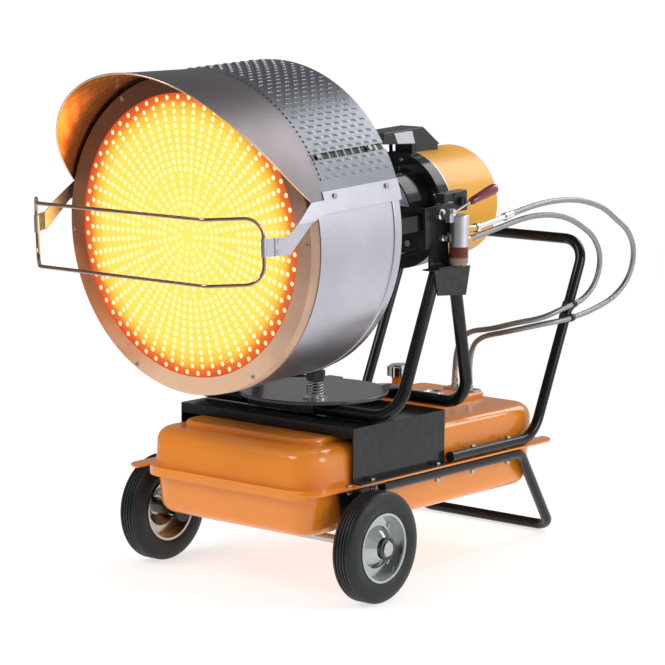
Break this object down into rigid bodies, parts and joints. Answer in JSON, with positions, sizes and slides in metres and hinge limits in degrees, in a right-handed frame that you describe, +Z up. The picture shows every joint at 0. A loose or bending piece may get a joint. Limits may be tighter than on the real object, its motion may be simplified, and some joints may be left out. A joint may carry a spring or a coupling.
{
  "type": "radiant oil heater",
  "caption": "Portable oil-fired radiant heater: a drum with a glowing perforated face, tilting on a turntable over a fuel tank cart.",
  "frame": {"origin": "floor centre under the machine, at the middle of its length and width", "axes": "+X across towards the fuel filter, +Y back from the glowing face to the push handle, +Z up"},
  "size_m": [0.714, 1.514, 1.1834],
  "materials": {
    "tyre": "matte",
    "zinc": "satin",
    "axle_steel": "satin",
    "black_paint": "gloss",
    "orange_paint": "gloss",
    "cover_orange": "gloss",
    "chrome": "polished",
    "brass": "satin",
    "glass": "clear",
    "stainless": "satin",
    "emitter": "glowing",
    "plastic_black": "matte",
    "grip_red": "satin",
    "bowl": "clear",
    "aluminium": "cast",
    "braid": "braided",
    "float": "satin",
    "pointer": "matte"
  },
  "bodies": {
    "cart": {"axle": "axle_steel", "axle_brackets": "black_paint", "tank_upper_pan": "orange_paint", "tank_lower_pan": "orange_paint", "filler_neck": "orange_paint", "filler_strainer": "brass", "gauge_body": "chrome", "pickup_fittings": "axle_steel", "saddle_bridge": "black_paint", "turntable_base": "zinc", "handle_tube": "black_paint", "leg_tube": "black_paint", "tube_end_caps": "plastic_black", "clamp_bolts": "zinc", "hose_clips": "plastic_black", "supply_hose": "braid", "return_hose": "braid"},
    "wheel_right": {"tyre_right": "tyre", "rim_right": "zinc"},
    "wheel_left": {"tyre_left": "tyre", "rim_left": "zinc"},
    "cap": {"filler_cap": "chrome"},
    "float": {"float_arm": "float"},
    "pointer": {"gauge_pointer": "pointer"},
    "stand": {"turntable_disc": "black_paint", "front_frame": "black_paint", "rear_frame": "black_paint", "apex_brackets": "black_paint", "pivot_bolts": "chrome", "brake_guide": "zinc", "brake_spring": "zinc", "filter_head": "aluminium", "filter_bowl": "bowl", "filter_nipples": "brass", "supply_coupling": "chrome"},
    "knob": {"brake_knob": "plastic_black"},
    "lever": {"valve_lever": "chrome", "valve_grip": "grip_red"},
    "head": {"drum_shell": "stainless", "front_ring": "stainless", "emitter_disc": "emitter", "rear_cover": "stainless", "flame_chamber": "stainless", "top_cover": "stainless", "visor_band": "stainless", "side_strips": "stainless", "guard_loop": "chrome", "guard_clips": "stainless", "head_screws": "zinc", "burner_neck": "stainless", "pivot_plates": "black_paint", "burner_housing": "black_paint", "blast_tube": "zinc", "motor": "aluminium", "burner_cover": "cover_orange", "ignition_box": "plastic_black", "control_box": "plastic_black"},
    "fan": {"fan": "aluminium"},
    "switch": {"power_switch": "plastic_black"},
    "dial": {"thermostat_knob": "plastic_black"}
  },
  "joints": [
    {"name": "wheel_left_spin", "type": "hinge", "parent": "cart", "child": "wheel_left", "pos_m": [-0.3185, -0.20312, 0.125], "axis": [1, 0, 0], "continuous": true},
    {"name": "wheel_right_spin", "type": "hinge", "parent": "cart", "child": "wheel_right", "pos_m": [0.3185, -0.20312, 0.125], "axis": [1, 0, 0], "continuous": true},
    {"name": "filler_cap_lift", "type": "slide", "parent": "cart", "child": "cap", "axis": [0, 0, 1], "range_m": [0, 0.04]},
    {"name": "float_swing", "type": "hinge", "parent": "cart", "child": "float", "pos_m": [0.0548, 0.36588, 0.3], "axis": [1, 0, 0], "range_deg": [0, 50]},
    {"name": "gauge_pointer_turn", "type": "hinge", "parent": "cart", "child": "pointer", "pos_m": [0.044, 0.36588, 0.3605], "axis": [0, 0, 1], "range_deg": [0, 90]},
    {"name": "turntable_swivel", "type": "hinge", "parent": "cart", "child": "stand", "pos_m": [0, -0.03512, 0.419], "axis": [0, 0, 1], "range_deg": [-45, 45], "deforming": ["supply_hose", "return_hose"]},
    {"name": "brake_knob_press", "type": "slide", "parent": "stand", "child": "knob", "axis": [0, 0, 1], "range_m": [-0.0026, 0], "stiffness_N_per_m": 3000, "springref_m": 0.004, "deforming": ["brake_spring"]},
    {"name": "fuel_valve_turn", "type": "hinge", "parent": "stand", "child": "lever", "pos_m": [0.3405, 0.03688, 0.848], "axis": [1, 0, 0], "range_deg": [0, 90]},
    {"name": "head_tilt", "type": "hinge", "parent": "stand", "child": "head", "pos_m": [0, 0.03788, 0.841], "axis": [-1, 0, 0], "range_deg": [0, 20]},
    {"name": "fan_spin", "type": "hinge", "parent": "head", "child": "fan", "pos_m": [0, 0.2308, 0.81068], "axis": [0, 0.9986, 0.0523], "continuous": true},
    {"name": "power_switch_rock", "type": "hinge", "parent": "head", "child": "switch", "pos_m": [0.162, 0.25725, 0.84111], "axis": [0, 0.9986, 0.0523], "range_deg": [0, 20]},
    {"name": "thermostat_turn", "type": "hinge", "parent": "head", "child": "dial", "pos_m": [0.17, 0.29719, 0.8432], "axis": [-1, 0, 0], "range_deg": [0, 270]}
  ],
  "couplings": [
    {"joint": "gauge_pointer_turn", "follows": "float_swing", "ratio": 1.8}
  ]
}
